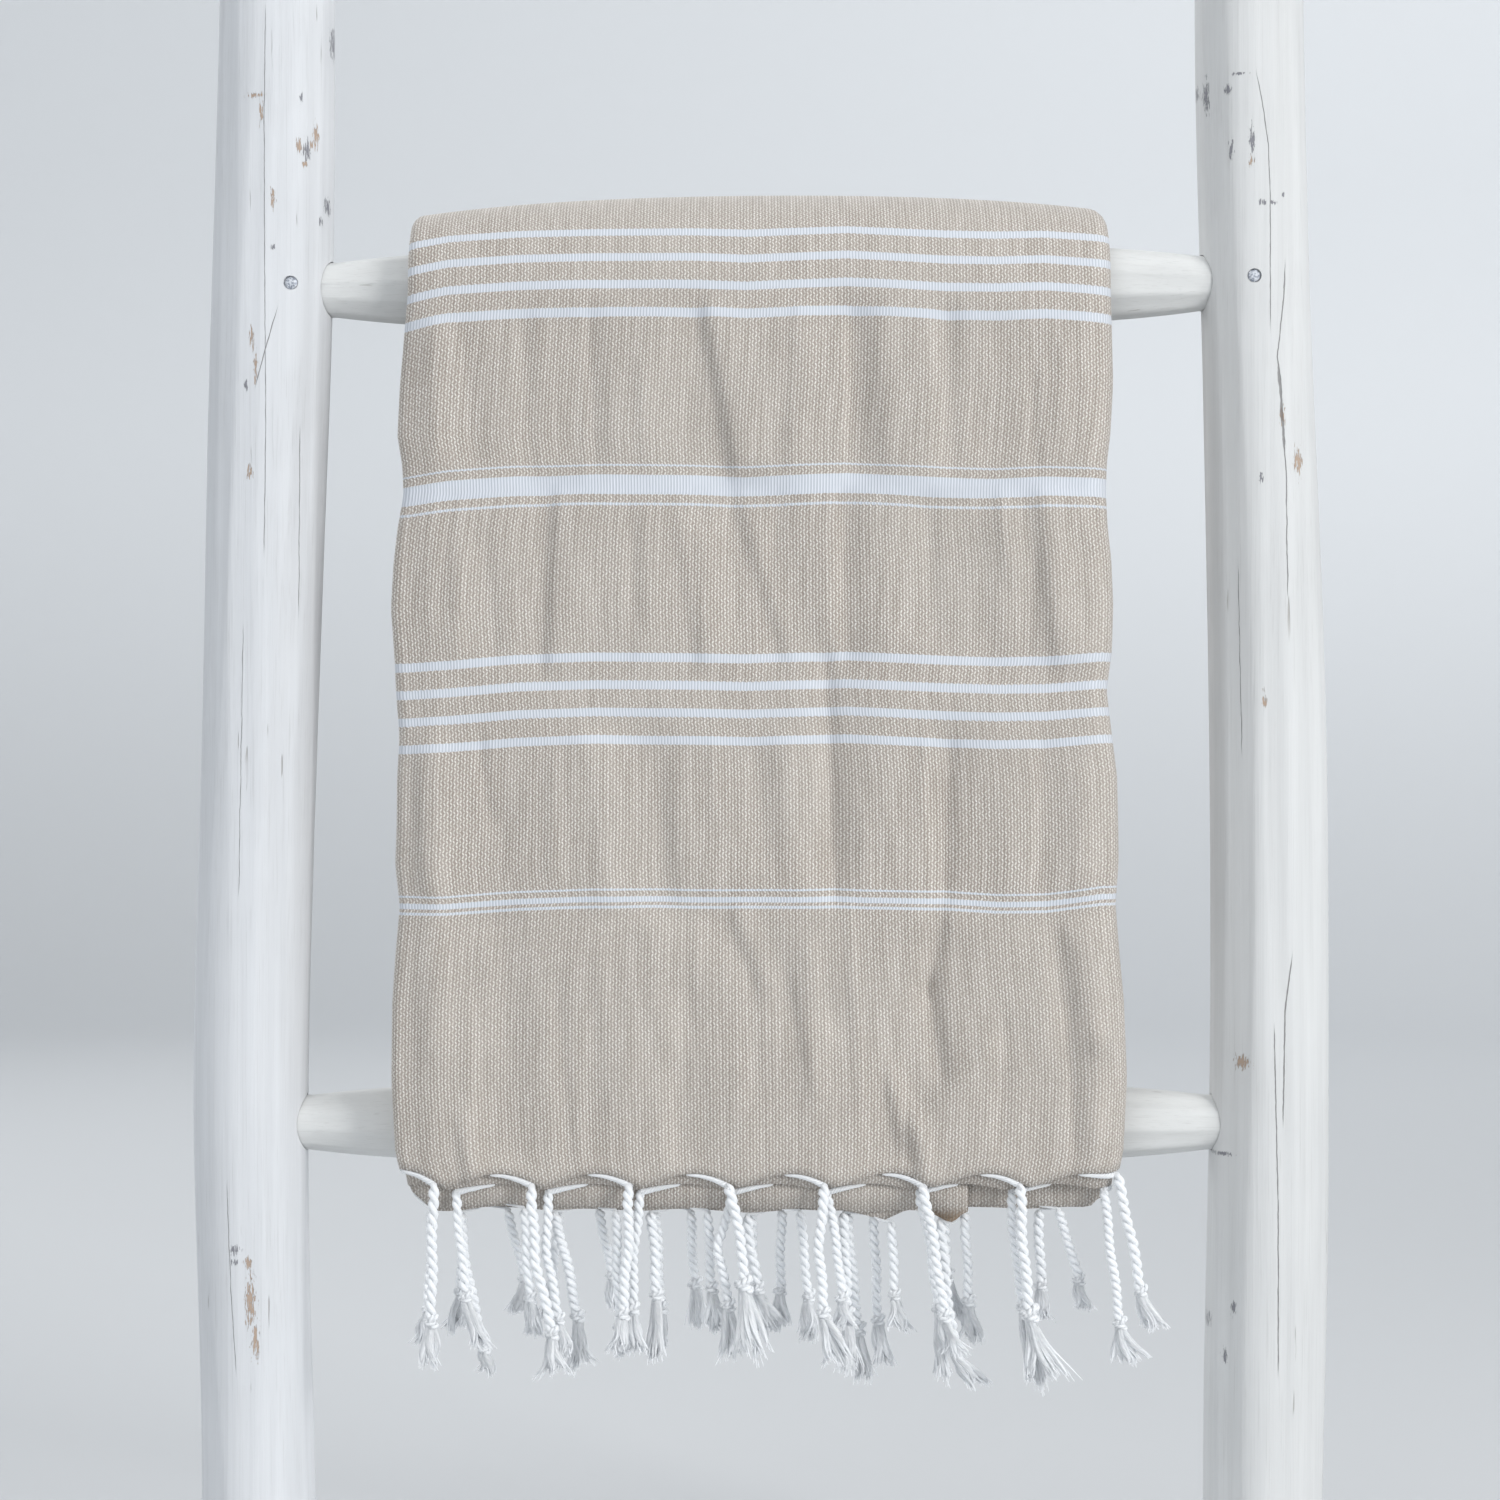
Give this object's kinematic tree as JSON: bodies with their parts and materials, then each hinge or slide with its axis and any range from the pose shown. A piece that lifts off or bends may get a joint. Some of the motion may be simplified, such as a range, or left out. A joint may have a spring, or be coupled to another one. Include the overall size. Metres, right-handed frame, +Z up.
{
  "type": "hammam towel on a wooden ladder",
  "caption": "Flat-woven cotton towel with stripes and knotted tassels, folded in thirds and draped over the upper rung of a short pole ladder.",
  "frame": {"origin": "on the floor, at the middle of the part's width and depth", "axes": "+X to the right as seen from the front, +Y from the front towards the wall behind, +Z up"},
  "size_m": [0.5425, 0.1002, 0.83],
  "materials": {
    "ground_cloth": "matt beige cotton broken twill with flat white stripes",
    "white_yarn": "twisted white cotton yarn, matt",
    "painted_wood": "off-white paint on peeled poles, grain and chips showing",
    "nail_steel": "dull grey nail heads, partly painted over"
  },
  "bodies": {
    "root": {"towel": "ground_cloth", "fringe_outer": "white_yarn", "fringe_inner": "white_yarn", "rail_left": "painted_wood", "rail_right": "painted_wood", "rung_upper": "painted_wood", "rung_lower": "painted_wood", "nail_left": "nail_steel", "nail_right": "nail_steel"}
  },
  "joints": []
}
